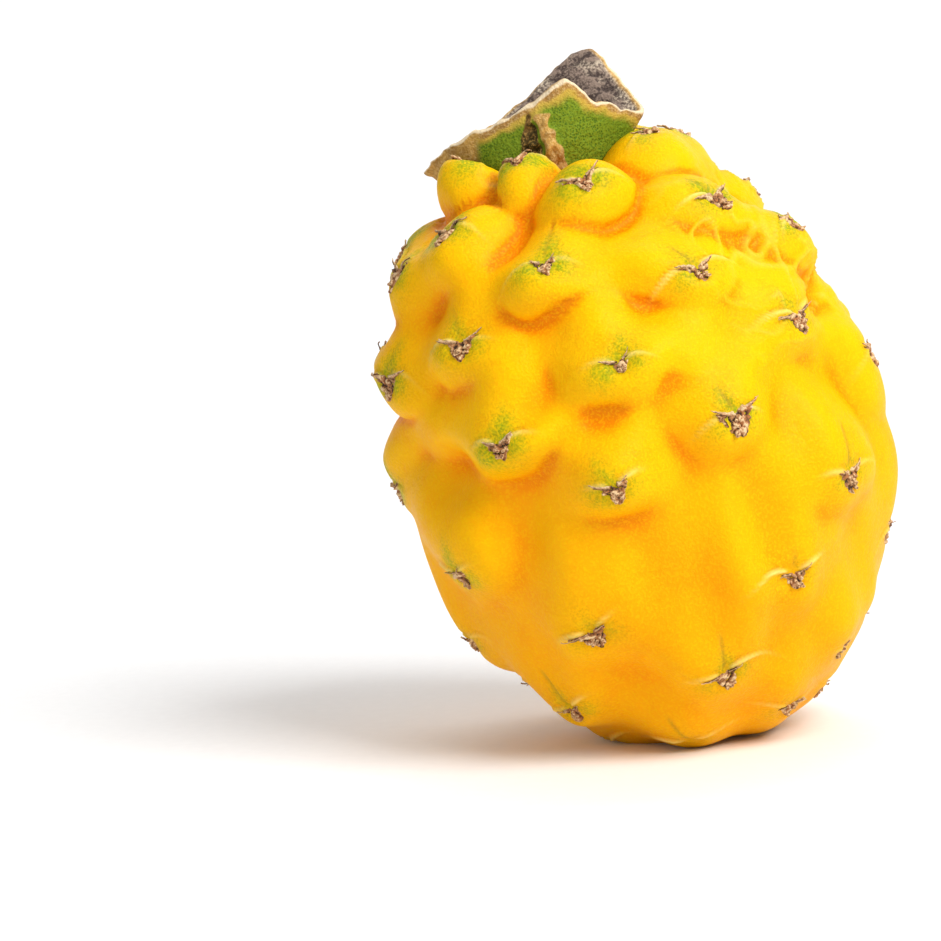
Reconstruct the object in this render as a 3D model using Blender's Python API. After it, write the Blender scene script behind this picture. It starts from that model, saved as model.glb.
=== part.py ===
"""A yellow dragon fruit with the remnant of its stem, as it rests on a small flat spot.

The skin is an egg, narrow end up, that leans towards -X. Fleshy lobes stand on it in spiral order,
and each carries a dried scar where its spines sat. The stem remnant is a boat-shaped piece of the
three-ribbed stem. It sits in the hollow that the first lobes leave round the top.
Metres, +Z up, with the origin under the middle of the whole piece.
"""

import math

import bmesh
import bpy
import numpy as np
from mathutils import Matrix, Vector

MM = 0.001

# The egg under the lobes, and where its middle stands
GIRTH_RADIUS = 33.1 * MM
STEM_HALF = 43.3 * MM
BLOSSOM_HALF = 45.2 * MM
STEM_TAPER = 1.0
BLOSSOM_TAPER = 1.12
LEAN = math.radians(16.9)
MIDDLE_X = 0.939 * MM
MIDDLE_Y = 0.720 * MM
MIDDLE_HEIGHT = 43.115 * MM

# Lobes in spiral order, numbered from the stem end down, in degrees
FIRST_LOBE = -3
LAST_LOBE = 63
FIRST_AZIMUTH = -8.8
TURN = 55.60
FIRST_POLAR = 19.9
POLAR_STEP = 1.58
POLAR_GROWTH = 0.0113
NEAREST_POLAR = 16.0

# Where a lobe stands off the even spiral: degrees round the fruit, degrees down it, and how many
# millimetres its dome lies lower and stands taller than usual
LOBE_SHIFT = {
    -2: (-5, -5, 0, 0),
    -1: (4, -4, 0, 4.5),
    0: (-1, -2, 0, 0.6),
    1: (25, 3, 1.2, 0.8),
    2: (22, 0, 0, 0.5),
    5: (2, 6, 0, 0.7),
    6: (-8, 2, 0, 0),
    7: (-5, 0, -1.2, 1.2),
    8: (24, -4, 0, 1),
    12: (-7, -2, 0, 0),
    13: (0, 3, 0, 0),
    14: (5, 1, 0, 0),
    15: (-1, 1, 0, 0),
    18: (-6, 2, 0, 0),
    19: (-3, 1, 0, 0),
    20: (9, 1, -1.5, 0),
    21: (-5, -2, 2, 0),
    25: (-9, -8, 0, 0),
    26: (7, -1, 0, 0),
    27: (1, 2, -1.5, 0),
    28: (3, 0, 2, 0),
    32: (1, -7, 0, 0),
    33: (-2, 0, -1, 0),
    34: (-1, -2, 2.5, 0),
    39: (-6, -10, 0, 0),
    40: (-6, 1, 0, 0),
    53: (2, 6, 0, 0),
    54: (2, 0, 0, 0),
}

# Lobe sizes down the fruit: the polar angle in degrees where each column holds, then millimetres
LOBE_POLAR = (15, 30, 50, 75, 105, 135, 165)
LOBE_HEIGHT = (6.8, 5.6, 5.0, 4.4, 3.7, 2.6, 1.6)
LOBE_HALF_WIDTH = (5.6, 10.0, 10.0, 9.8, 10.0, 9.0, 5.0)
LOBE_REACH_UP = (6.0, 8.5, 10.0, 12.0, 14.5, 16.0, 9.0)
LOBE_REACH_DOWN = (8.5, 8.5, 8.5, 8.5, 10.0, 12.0, 7.0)
LOBE_DROP = (0.0, 0.3, 0.0, -1.0, -2.0, -2.5, 0.0)

# How crisp the creases are, per millimetre, and how far a lobe hangs for its height
CREASE_SHARPNESS = (1.6, 1.1, 1.0, 1.0, 1.1, 1.1, 1.1)
LOBE_DROOP = (0.05, 0.25, 0.4, 0.45, 0.3, 0.1, 0.0)

LOBE_ROUNDNESS = 2.0
LOBE_VARIATION = 0.12
LOBE_SEED = 7
LOBE_SPAN = 34 * MM
LOBE_SKIRT_DEPTH = 4 * MM

# A slow drift that keeps the lobes from looking alike
WANDER = 0.9 * MM
WANDER_LENGTH = 40 * MM
WANDER_SEED = 4

# Smaller lumps between the lobes
LUMP_HEIGHT = 0.5 * MM
LUMP_LENGTH = 13 * MM
LUMP_STRETCH = 2.5
LUMP_WAVES = 14
LUMP_SEED = 12

# The hollow under the stem and the navel at the blossom end
HOLLOW_POLAR = 13.5
HOLLOW_DEPTH = 1.5 * MM
NAVEL_POLAR = 8.0
NAVEL_DEPTH = 2.5 * MM

SKIN_CUTS = 26

# Dried scars on the lobes
SCAR_HALF_WIDTH = 2.5 * MM
SCAR_HALF_HEIGHT = 1.5 * MM
SCAR_TOP_SHARE = 0.45
SCAR_PROUD = 0.7 * MM
SCAR_SUNK = 1.6 * MM
SCAR_SIDES = 6
SCAR_REACH = 0.01
SCAR_LAST_POLAR = 150.0
SCAR_LOWEST = 3.0 * MM
SCAR_CLEARANCE_GROWTH = 1.35

# Rim of the stem remnant, from its left tip round the front: millimetres from the seat
STEM_RIM = (
    (-17.6, 1.5, 2.4),
    (-12.0, -4.0, 6.6),
    (-2.0, -8.0, 10.9),
    (3.9, -9.0, 14.6),
    (7.8, -6.6, 12.0),
    (14.8, -0.5, 9.3),
    (12.6, 4.5, 13.2),
    (8.2, 9.2, 18.6),
    (4.6, 9.4, 17.4),
    (-1.4, 7.5, 12.6),
    (-8.4, 5.5, 7.8),
    (-14.2, 3.8, 4.2),
)
STEM_CORE_X = -2 * MM
STEM_FOOT_X = -1 * MM
STEM_FOOT_LENGTH = 8.4 * MM
STEM_FOOT_WIDTH = 6.0 * MM
STEM_FOOT_Z = -4.0 * MM
STEM_WAIST_SHARE = 0.55
STEM_WAIST_BULGE = 1.15
STEM_RIM_WIDTH = 1.3 * MM
STEM_BOWL_DEPTH = 5.0 * MM
STEM_FLOOR_DEPTH = 3.0 * MM
STEM_FLOOR_SHARE = 0.5
STEM_STATIONS = 36
STEM_GAP = 0.3 * MM
SHARP_EDGE = math.radians(50)

SKIN_YELLOW = (0.93, 0.55, 0.01, 1.0)
SKIN_ROUGHNESS = 0.45
STEM_GREEN = (0.16, 0.24, 0.03, 1.0)
STEM_ROUGHNESS = 0.6


def clear_scene():
    for obj in list(bpy.data.objects):
        bpy.data.objects.remove(obj, do_unlink=True)


def plain_material(name, colour, roughness):
    material = bpy.data.materials.new(name)
    material.use_nodes = True
    shader = material.node_tree.nodes["Principled BSDF"]
    shader.inputs["Base Color"].default_value = colour
    shader.inputs["Roughness"].default_value = roughness
    shader.inputs["Metallic"].default_value = 0.0
    return material


def egg(polar, azimuth):
    """Points of the bare egg. Polar runs from the stem end, azimuth from -Y towards +X."""
    towards_stem = np.cos(polar)
    taper = np.where(towards_stem > 0, STEM_TAPER, BLOSSOM_TAPER)
    half = np.where(towards_stem > 0, STEM_HALF, BLOSSOM_HALF)
    radius = GIRTH_RADIUS * np.maximum(np.sin(polar), 1e-9) ** taper
    return np.stack([radius * np.sin(azimuth), -radius * np.cos(azimuth), half * towards_stem], -1)


def egg_directions(polar, azimuth):
    """Unit vectors round the egg, down it and out of it."""
    step = 1e-4
    down = egg(polar + step, azimuth) - egg(polar - step, azimuth)
    down /= np.linalg.norm(down, axis=-1, keepdims=True)
    around = np.stack([np.cos(azimuth), np.sin(azimuth), np.zeros_like(azimuth)], -1)
    return around, down, np.cross(down, around)


def lobe_places():
    """Polar angle and azimuth of each lobe's scar, and how much lower and taller its dome is."""
    number = np.arange(FIRST_LOBE, LAST_LOBE + 1)
    shift = np.array([LOBE_SHIFT.get(int(n), (0, 0, 0, 0)) for n in number], float)
    below = FIRST_POLAR + POLAR_STEP * number + POLAR_GROWTH * number**2
    polar = np.maximum(below, NEAREST_POLAR) + shift[:, 1]
    azimuth = FIRST_AZIMUTH + TURN * number + shift[:, 0]
    azimuth = np.radians((azimuth + 180) % 360 - 180)
    return np.radians(polar), azimuth, shift[:, 2] * MM, shift[:, 3] * MM


def down_the_fruit(polar, column):
    return np.interp(np.degrees(polar), LOBE_POLAR, column)


def wander(points):
    """A smooth seeded drift of the points, made of a few long waves."""
    draw = np.random.default_rng(WANDER_SEED)
    drift = np.zeros_like(points)
    for share in (1.0, 0.5):
        wave = draw.normal(size=(3, 3))
        wave *= 2 * math.pi / (WANDER_LENGTH * share) / np.linalg.norm(wave, axis=1, keepdims=True)
        drift += share * np.sin(points @ wave.T + draw.uniform(0, 2 * math.pi, 3))
    return WANDER * drift


def lumps(points):
    """Seeded lumps between the lobes, drawn out into ribs on the lower half."""
    draw = np.random.default_rng(LUMP_SEED)
    drawn_out = np.interp(points[:, 2], (-0.5 * BLOSSOM_HALF, 0.3 * STEM_HALF), (LUMP_STRETCH, 1.0))
    squeezed = points.copy()
    squeezed[:, 2] /= drawn_out
    field = np.zeros(len(points))
    for _ in range(LUMP_WAVES):
        wave = draw.normal(size=3)
        wave *= 2 * math.pi / LUMP_LENGTH * draw.uniform(0.7, 1.4) / np.linalg.norm(wave)
        field += np.cos(squeezed @ wave + draw.uniform(0, 2 * math.pi))
    return LUMP_HEIGHT * field / math.sqrt(LUMP_WAVES / 2)


def lobed_skin(directions):
    """Skin points for unit directions from the egg's middle, in the upright fruit's frame."""
    polar = np.arccos(np.clip(directions[:, 2], -1, 1))
    azimuth = np.arctan2(directions[:, 0], -directions[:, 1])
    bare = egg(polar, azimuth)
    out = egg_directions(np.clip(polar, 1e-3, math.pi - 1e-3), azimuth)[2]
    drifted = bare + wander(bare)

    lobe_polar, lobe_azimuth, lobe_sag, lobe_growth = lobe_places()
    centres = egg(lobe_polar, lobe_azimuth)
    centres += wander(centres)
    around, down, _ = egg_directions(lobe_polar, lobe_azimuth)
    vary = 1 + LOBE_VARIATION * np.random.default_rng(LOBE_SEED).uniform(-1, 1, (len(centres), 3))
    height = down_the_fruit(lobe_polar, LOBE_HEIGHT) * MM * vary[:, 0] + lobe_growth
    half_width = down_the_fruit(lobe_polar, LOBE_HALF_WIDTH) * MM * vary[:, 1]
    reach_up = down_the_fruit(lobe_polar, LOBE_REACH_UP) * MM * vary[:, 2]
    reach_down = down_the_fruit(lobe_polar, LOBE_REACH_DOWN) * MM
    drop = down_the_fruit(lobe_polar, LOBE_DROP) * MM + lobe_sag

    # Each lobe is a dome, and the domes blend as the logarithm of a sum of exponentials
    sharpness = down_the_fruit(polar, CREASE_SHARPNESS) / MM
    total = np.ones(len(bare))
    droop = np.zeros_like(bare)
    for i in range(len(centres)):
        offset = drifted - centres[i]
        near = np.einsum("ij,ij->i", offset, offset) < LOBE_SPAN**2
        across = offset[near] @ around[i] / half_width[i]
        along = offset[near] @ down[i] - drop[i]
        along /= np.where(along > 0, reach_down[i], reach_up[i])
        distance = (across**2 + along**2) ** (LOBE_ROUNDNESS / 2)
        dome = np.maximum(height[i] * (1 - distance), -LOBE_SKIRT_DEPTH)
        weight = np.exp(sharpness[near] * dome)
        total[near] += weight
        droop[near] += (weight * np.maximum(dome, 0))[:, None] * down[i]
    rise = np.log(total) / sharpness + lumps(bare)
    droop *= (down_the_fruit(polar, LOBE_DROOP) / total)[:, None]

    hollow = np.exp(-((np.degrees(polar) / HOLLOW_POLAR) ** 6))
    rise = rise * (1 - hollow) - HOLLOW_DEPTH * hollow
    navel = np.exp(-(((180 - np.degrees(polar)) / NAVEL_POLAR) ** 4))
    rise = rise * (1 - navel) - NAVEL_DEPTH * navel
    return bare + out * rise[:, None] + droop


def standing(points):
    """Points of the upright fruit's frame where they are once it leans on its flat spot."""
    turn = np.array(Matrix.Rotation(-LEAN, 3, "Y"))
    return points @ turn.T + np.array([MIDDLE_X, MIDDLE_Y, MIDDLE_HEIGHT])


def cube_ball():
    """A closed ball of even squares: a cube cut into a grid and blown up."""
    ball = bmesh.new()
    bmesh.ops.create_cube(ball, size=2.0)
    bmesh.ops.subdivide_edges(ball, edges=ball.edges[:], cuts=SKIN_CUTS, use_grid_fill=True)
    for vertex in ball.verts:
        vertex.co = Vector([math.tan(c * math.pi / 4) for c in vertex.co]).normalized()
    return ball


def skin_mesh(name):
    """The standing skin, cut level where it rests."""
    ball = cube_ball()
    points = standing(lobed_skin(np.array([vertex.co[:] for vertex in ball.verts])))
    for vertex, point in zip(ball.verts, points):
        vertex.co = (point[0], point[1], max(point[2], 0.0))
    bmesh.ops.triangulate(ball, faces=ball.faces[:], quad_method="SHORT_EDGE")
    mesh = bpy.data.meshes.new(name)
    ball.to_mesh(mesh)
    ball.free()
    mesh.shade_smooth()
    return mesh


def add_object(name, mesh, material):
    obj = bpy.data.objects.new(name, mesh)
    bpy.context.scene.collection.objects.link(obj)
    mesh.materials.clear()
    mesh.materials.append(material)
    return obj


def scar_frames():
    """World placements of the scars: x round the fruit, z out of the skin."""
    polar, azimuth, _, _ = lobe_places()
    keep = np.degrees(polar) < SCAR_LAST_POLAR
    polar, azimuth = polar[keep], azimuth[keep]

    def skin_at(polar_angle, azimuth_angle):
        directions = np.stack([
            np.sin(polar_angle) * np.sin(azimuth_angle),
            -np.sin(polar_angle) * np.cos(azimuth_angle),
            np.cos(polar_angle),
        ], -1)
        return standing(lobed_skin(directions))

    middle = skin_at(polar, azimuth)
    around = skin_at(polar, azimuth + SCAR_REACH) - skin_at(polar, azimuth - SCAR_REACH)
    down = skin_at(polar + SCAR_REACH, azimuth) - skin_at(polar - SCAR_REACH, azimuth)
    for point, x_axis, y_axis in zip(middle, around, down):
        if point[2] < SCAR_LOWEST:
            continue
        x_axis = Vector(x_axis).normalized()
        z_axis = Vector(y_axis).cross(x_axis).normalized()
        turn = Matrix((x_axis, z_axis.cross(x_axis), z_axis)).transposed()
        yield Matrix.Translation(point) @ turn.to_4x4()


def scar_mesh():
    """A low six-sided boss, drawn out to a point on either side."""
    boss = bmesh.new()
    middle = Matrix.Translation((0, 0, (SCAR_PROUD - SCAR_SUNK) / 2))
    bmesh.ops.create_cone(
        boss,
        cap_ends=True,
        segments=SCAR_SIDES,
        radius1=1.0,
        radius2=SCAR_TOP_SHARE,
        depth=SCAR_PROUD + SCAR_SUNK,
        matrix=middle @ Matrix.Rotation(math.pi / 2, 4, "Z"),
    )
    bmesh.ops.scale(boss, verts=boss.verts, vec=(SCAR_HALF_WIDTH, SCAR_HALF_HEIGHT, 1.0))
    mesh = bpy.data.meshes.new("scar")
    boss.to_mesh(mesh)
    boss.free()
    return mesh


def scar_collection(material, growth=1.0):
    """One boss for each scar, in a collection that a Boolean can use."""
    scars = bpy.data.collections.new("scars")
    bpy.context.scene.collection.children.link(scars)
    shape = scar_mesh()
    shape.materials.append(material)
    for index, place in enumerate(scar_frames()):
        scar = bpy.data.objects.new(f"scar_{index}", shape)
        scar.matrix_world = place @ Matrix.Scale(growth, 4)
        scars.objects.link(scar)
    bpy.context.view_layer.update()
    return scars


def remove_collection(collection):
    for obj in list(collection.objects):
        bpy.data.objects.remove(obj, do_unlink=True)
    bpy.data.collections.remove(collection)


def apply_boolean(obj, operation, collection=None, other=None):
    modifier = obj.modifiers.new(operation.lower(), "BOOLEAN")
    modifier.operation = operation
    modifier.solver = "EXACT"
    if collection is not None:
        modifier.operand_type = "COLLECTION"
        modifier.collection = collection
    else:
        modifier.object = other
    with bpy.context.temp_override(object=obj, active_object=obj, selected_objects=[obj]):
        bpy.ops.object.modifier_apply(modifier=modifier.name)


def closed_curve(points, count):
    """Points spaced evenly by number along a smooth closed curve through the given ones."""
    points = np.array(points, float)
    total = len(points)
    result = []
    for step in range(count):
        place = step * total / count
        i = int(place)
        t = place - i
        a, b, c, d = (points[(i + k) % total] for k in (-1, 0, 1, 2))
        square = 2 * a - 5 * b + 4 * c - d
        cube = 3 * b - a - 3 * c + d
        result.append(b + ((c - a) * t + square * t**2 + cube * t**3) / 2)
    return np.array(result)


def stem_mesh():
    """The boat-shaped stem remnant: foot, flanks, corky rim and the dried hollow inside it."""
    rim = closed_curve(STEM_RIM, STEM_STATIONS) * MM
    middle = rim.mean(axis=0)
    bearing = np.arctan2(rim[:, 1], rim[:, 0] - STEM_CORE_X)
    foot = np.stack([
        STEM_FOOT_X + STEM_FOOT_LENGTH * np.cos(bearing),
        STEM_FOOT_WIDTH * np.sin(bearing),
        np.full(STEM_STATIONS, STEM_FOOT_Z),
    ], -1)
    waist = foot + (rim - foot) * STEM_WAIST_SHARE
    waist[:, 1] *= STEM_WAIST_BULGE
    inward = middle - rim
    inward[:, 2] = 0
    inward /= np.linalg.norm(inward, axis=1, keepdims=True)
    lip = rim + inward * STEM_RIM_WIDTH
    floor = lip + (middle - lip) * STEM_FLOOR_SHARE - np.array([0, 0, STEM_FLOOR_DEPTH])
    deepest = middle - np.array([0, 0, STEM_BOWL_DEPTH])

    seat = standing(np.array([[0, 0, STEM_HALF - HOLLOW_DEPTH]]))[0]
    stem = bmesh.new()
    rings = []
    for ring in (foot, waist, rim, lip, floor):
        rings.append([stem.verts.new(point + seat) for point in ring])
    bottom = stem.verts.new(foot.mean(axis=0) + seat)
    top = stem.verts.new(deepest + seat)
    for i in range(STEM_STATIONS):
        j = (i + 1) % STEM_STATIONS
        stem.faces.new((bottom, rings[0][j], rings[0][i]))
        for lower, upper in zip(rings, rings[1:]):
            stem.faces.new((lower[i], lower[j], upper[j], upper[i]))
        stem.faces.new((rings[-1][i], rings[-1][j], top))
    bmesh.ops.recalc_face_normals(stem, faces=stem.faces[:])
    bmesh.ops.triangulate(stem, faces=stem.faces[:], quad_method="SHORT_EDGE")
    mesh = bpy.data.meshes.new("stem_stub")
    stem.to_mesh(mesh)
    stem.free()
    mesh.shade_smooth()
    mesh.set_sharp_from_angle(angle=SHARP_EDGE)
    return mesh


def build_body(material):
    return add_object("fruit_body", skin_mesh("fruit_body"), material)


def build_stem(body, material):
    """The stem remnant, cut back so that a thin gap parts it from the lobes that press on it."""
    stem = add_object("stem_stub", stem_mesh(), material)
    swollen = body.data.copy()
    normals = [vertex.normal.copy() for vertex in swollen.vertices]
    for vertex, normal in zip(swollen.vertices, normals):
        vertex.co += STEM_GAP * normal
    clearance = add_object("clearance", swollen, material)
    clearance.hide_render = True
    clearance.display_type = "WIRE"
    bpy.context.view_layer.update()
    apply_boolean(stem, "DIFFERENCE", other=clearance)
    bpy.data.objects.remove(clearance, do_unlink=True)
    grown_scars = scar_collection(material, SCAR_CLEARANCE_GROWTH)
    apply_boolean(stem, "DIFFERENCE", collection=grown_scars)
    remove_collection(grown_scars)
    return stem


def fuse_scars(body, material):
    scars = scar_collection(material)
    apply_boolean(body, "UNION", collection=scars)
    remove_collection(scars)


def gather(name, objects):
    """One empty at the origin that carries the pieces."""
    frame = bpy.data.objects.new(name, None)
    bpy.context.scene.collection.objects.link(frame)
    for obj in objects:
        obj.parent = frame


clear_scene()
skin_yellow = plain_material("skin_yellow", SKIN_YELLOW, SKIN_ROUGHNESS)
stem_green = plain_material("stem_green", STEM_GREEN, STEM_ROUGHNESS)
fruit_body = build_body(skin_yellow)
stem_stub = build_stem(fruit_body, stem_green)
fuse_scars(fruit_body, skin_yellow)
gather("dragon_fruit", [fruit_body, stem_stub])
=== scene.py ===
"""The yellow dragon fruit dressed for the studio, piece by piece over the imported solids."""

import math

import bmesh
import bpy
import numpy as np
from mathutils import Matrix, Quaternion, Vector


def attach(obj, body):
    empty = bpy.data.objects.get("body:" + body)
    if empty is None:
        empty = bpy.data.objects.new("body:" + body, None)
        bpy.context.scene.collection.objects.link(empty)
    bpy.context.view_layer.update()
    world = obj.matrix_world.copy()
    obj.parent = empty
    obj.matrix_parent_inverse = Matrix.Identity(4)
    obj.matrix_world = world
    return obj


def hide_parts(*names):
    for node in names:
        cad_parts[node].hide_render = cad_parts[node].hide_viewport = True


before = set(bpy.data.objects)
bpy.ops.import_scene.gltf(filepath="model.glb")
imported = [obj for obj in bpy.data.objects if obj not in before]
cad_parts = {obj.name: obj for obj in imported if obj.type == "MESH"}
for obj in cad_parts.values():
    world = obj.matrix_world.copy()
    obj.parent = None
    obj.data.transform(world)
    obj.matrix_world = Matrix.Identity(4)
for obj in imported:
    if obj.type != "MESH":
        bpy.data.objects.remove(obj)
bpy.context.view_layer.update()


# Rind
# The rind is one thick waxy skin grown over the flesh. Its lobes are the fleshy bases of small
# leaves that follow each other in one spiral from the stem to the navel, with crisp creases at the
# stem end and long soft ribs below. The fruit leans, and it has settled on a small flat spot.
MM = 0.001

# The egg under the lobes, and where its middle stands
GIRTH_RADIUS = 33.1 * MM
STEM_HALF = 43.3 * MM
BLOSSOM_HALF = 45.2 * MM
STEM_TAPER = 1.0
BLOSSOM_TAPER = 1.12
LEAN = math.radians(16.9)
MIDDLE = np.array([0.939, 0.720, 43.115]) * MM

# Lobes in spiral order from the stem end down, in degrees
FIRST_LOBE = -3
LAST_LOBE = 63
FIRST_AZIMUTH = -8.8
TURN = 55.60
FIRST_POLAR = 19.9
POLAR_STEP = 1.58
POLAR_GROWTH = 0.0113
NEAREST_POLAR = 16.0

# Where a lobe stands off the even spiral: degrees round the fruit, degrees down it, and how many
# millimetres its dome lies lower and stands taller than usual
LOBE_SHIFT = {
    -2: (-5, -5, 0, 0),
    -1: (4, -4, 0, 4.5),
    0: (-1, -2, 0, 0.6),
    1: (25, 3, 1.2, 0.8),
    2: (22, 0, 0, 0.5),
    5: (2, 6, 0, 0.7),
    6: (-8, 2, 0, 0),
    7: (-5, 0, -1.2, 1.2),
    8: (24, -4, 0, 1),
    12: (-7, -2, 0, 0),
    13: (0, 3, 0, 0),
    14: (5, 1, 0, 0),
    15: (-1, 1, 0, 0),
    18: (-6, 2, 0, 0),
    19: (-3, 1, 0, 0),
    20: (9, 1, -1.5, 0),
    21: (-5, -2, 2, 0),
    25: (-9, -8, 0, 0),
    26: (7, -1, 0, 0),
    27: (1, 2, -1.5, 0),
    28: (3, 0, 2, 0),
    32: (1, -7, 0, 0),
    33: (-2, 0, -1, 0),
    34: (-1, -2, 2.5, 0),
    39: (-6, -10, 0, 0),
    40: (-6, 1, 0, 0),
    53: (2, 6, 0, 0),
    54: (2, 0, 0, 0),
}

# Lobe sizes down the fruit: the polar angle in degrees where each column holds, then millimetres
LOBE_POLAR = (15, 30, 50, 75, 105, 135, 165)
LOBE_HEIGHT = (6.8, 5.6, 5.0, 4.4, 3.7, 2.6, 1.6)
LOBE_HALF_WIDTH = (5.6, 10.0, 10.0, 9.8, 10.0, 9.0, 5.0)
LOBE_REACH_UP = (6.0, 8.5, 10.0, 12.0, 14.5, 16.0, 9.0)
LOBE_REACH_DOWN = (8.5, 8.5, 8.5, 8.5, 10.0, 12.0, 7.0)
LOBE_DROP = (0.0, 0.3, 0.0, -1.0, -2.0, -2.5, 0.0)
CREASE_SHARPNESS = (1.6, 1.1, 1.0, 1.0, 1.1, 1.1, 1.1)
LOBE_DROOP = (0.05, 0.25, 0.4, 0.45, 0.3, 0.1, 0.0)
LOBE_ROUNDNESS = 2.0
LOBE_VARIATION = 0.12
LOBE_SEED = 7
LOBE_SPAN = 34 * MM
LOBE_SKIRT_DEPTH = 4 * MM

# A slow drift that keeps the lobes from looking alike
WANDER = 0.9 * MM
WANDER_LENGTH = 40 * MM
WANDER_SEED = 4

# Smaller lumps between the lobes
LUMP_HEIGHT = 0.5 * MM
LUMP_LENGTH = 13 * MM
LUMP_STRETCH = 2.5
LUMP_SEED = 12

# The hollow under the stem and the navel at the blossom end
HOLLOW_POLAR = 13.5
HOLLOW_DEPTH = 1.5 * MM
NAVEL_POLAR = 8.0
NAVEL_DEPTH = 2.5 * MM


def egg(polar, azimuth):
    """Points of the bare egg. Polar runs from the stem end, azimuth from -Y towards +X."""
    towards_stem = np.cos(polar)
    taper = np.where(towards_stem > 0, STEM_TAPER, BLOSSOM_TAPER)
    half = np.where(towards_stem > 0, STEM_HALF, BLOSSOM_HALF)
    radius = GIRTH_RADIUS * np.maximum(np.sin(polar), 1e-9) ** taper
    return np.stack([radius * np.sin(azimuth), -radius * np.cos(azimuth), half * towards_stem], -1)


def egg_directions(polar, azimuth):
    """Unit vectors round the egg, down it and out of it."""
    step = 1e-4
    down = egg(polar + step, azimuth) - egg(polar - step, azimuth)
    down /= np.linalg.norm(down, axis=-1, keepdims=True)
    around = np.stack([np.cos(azimuth), np.sin(azimuth), np.zeros_like(azimuth)], -1)
    return around, down, np.cross(down, around)


def direction_of(polar, azimuth):
    """Unit vectors from the egg's middle."""
    return np.stack([
        np.sin(polar) * np.sin(azimuth),
        -np.sin(polar) * np.cos(azimuth),
        np.cos(polar),
    ], -1)


def lobe_places():
    """Polar angle and azimuth of each lobe's scar, and how much lower and taller its dome is."""
    number = np.arange(FIRST_LOBE, LAST_LOBE + 1)
    shift = np.array([LOBE_SHIFT.get(int(n), (0, 0, 0, 0)) for n in number], float)
    below = FIRST_POLAR + POLAR_STEP * number + POLAR_GROWTH * number**2
    polar = np.maximum(below, NEAREST_POLAR) + shift[:, 1]
    azimuth = FIRST_AZIMUTH + TURN * number + shift[:, 0]
    azimuth = np.radians((azimuth + 180) % 360 - 180)
    return np.radians(polar), azimuth, shift[:, 2] * MM, shift[:, 3] * MM


def down_the_fruit(polar, column):
    """The value that holds this far down the fruit."""
    return np.interp(np.degrees(polar), LOBE_POLAR, column)


def wander(points):
    """A smooth seeded drift of the points, made of a few long waves."""
    draw = np.random.default_rng(WANDER_SEED)
    drift = np.zeros_like(points)
    for share in (1.0, 0.5):
        wave = draw.normal(size=(3, 3))
        wave *= 2 * math.pi / (WANDER_LENGTH * share) / np.linalg.norm(wave, axis=1, keepdims=True)
        drift += share * np.sin(points @ wave.T + draw.uniform(0, 2 * math.pi, 3))
    return WANDER * drift


WAVE_COUNT = 14


def rolling_waves(points, length, seed):
    """A soft random field of unit strength, whose waves are about this long."""
    draw = np.random.default_rng(seed)
    field = np.zeros(len(points))
    for _ in range(WAVE_COUNT):
        wave = draw.normal(size=3)
        wave *= 2 * math.pi / length * draw.uniform(0.7, 1.4) / np.linalg.norm(wave)
        field += np.cos(points @ wave + draw.uniform(0, 2 * math.pi))
    return field / math.sqrt(WAVE_COUNT / 2)


def lumps(points):
    """Seeded lumps between the lobes, drawn out into ribs on the lower half."""
    drawn_out = np.interp(points[:, 2], (-0.5 * BLOSSOM_HALF, 0.3 * STEM_HALF), (LUMP_STRETCH, 1.0))
    squeezed = points.copy()
    squeezed[:, 2] /= drawn_out
    return LUMP_HEIGHT * rolling_waves(squeezed, LUMP_LENGTH, LUMP_SEED)


lobe_polar, lobe_azimuth, lobe_sag, lobe_growth = lobe_places()
lobe_count = len(lobe_polar)
lobe_root = egg(lobe_polar, lobe_azimuth)
lobe_around, lobe_down, _ = egg_directions(lobe_polar, lobe_azimuth)


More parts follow.
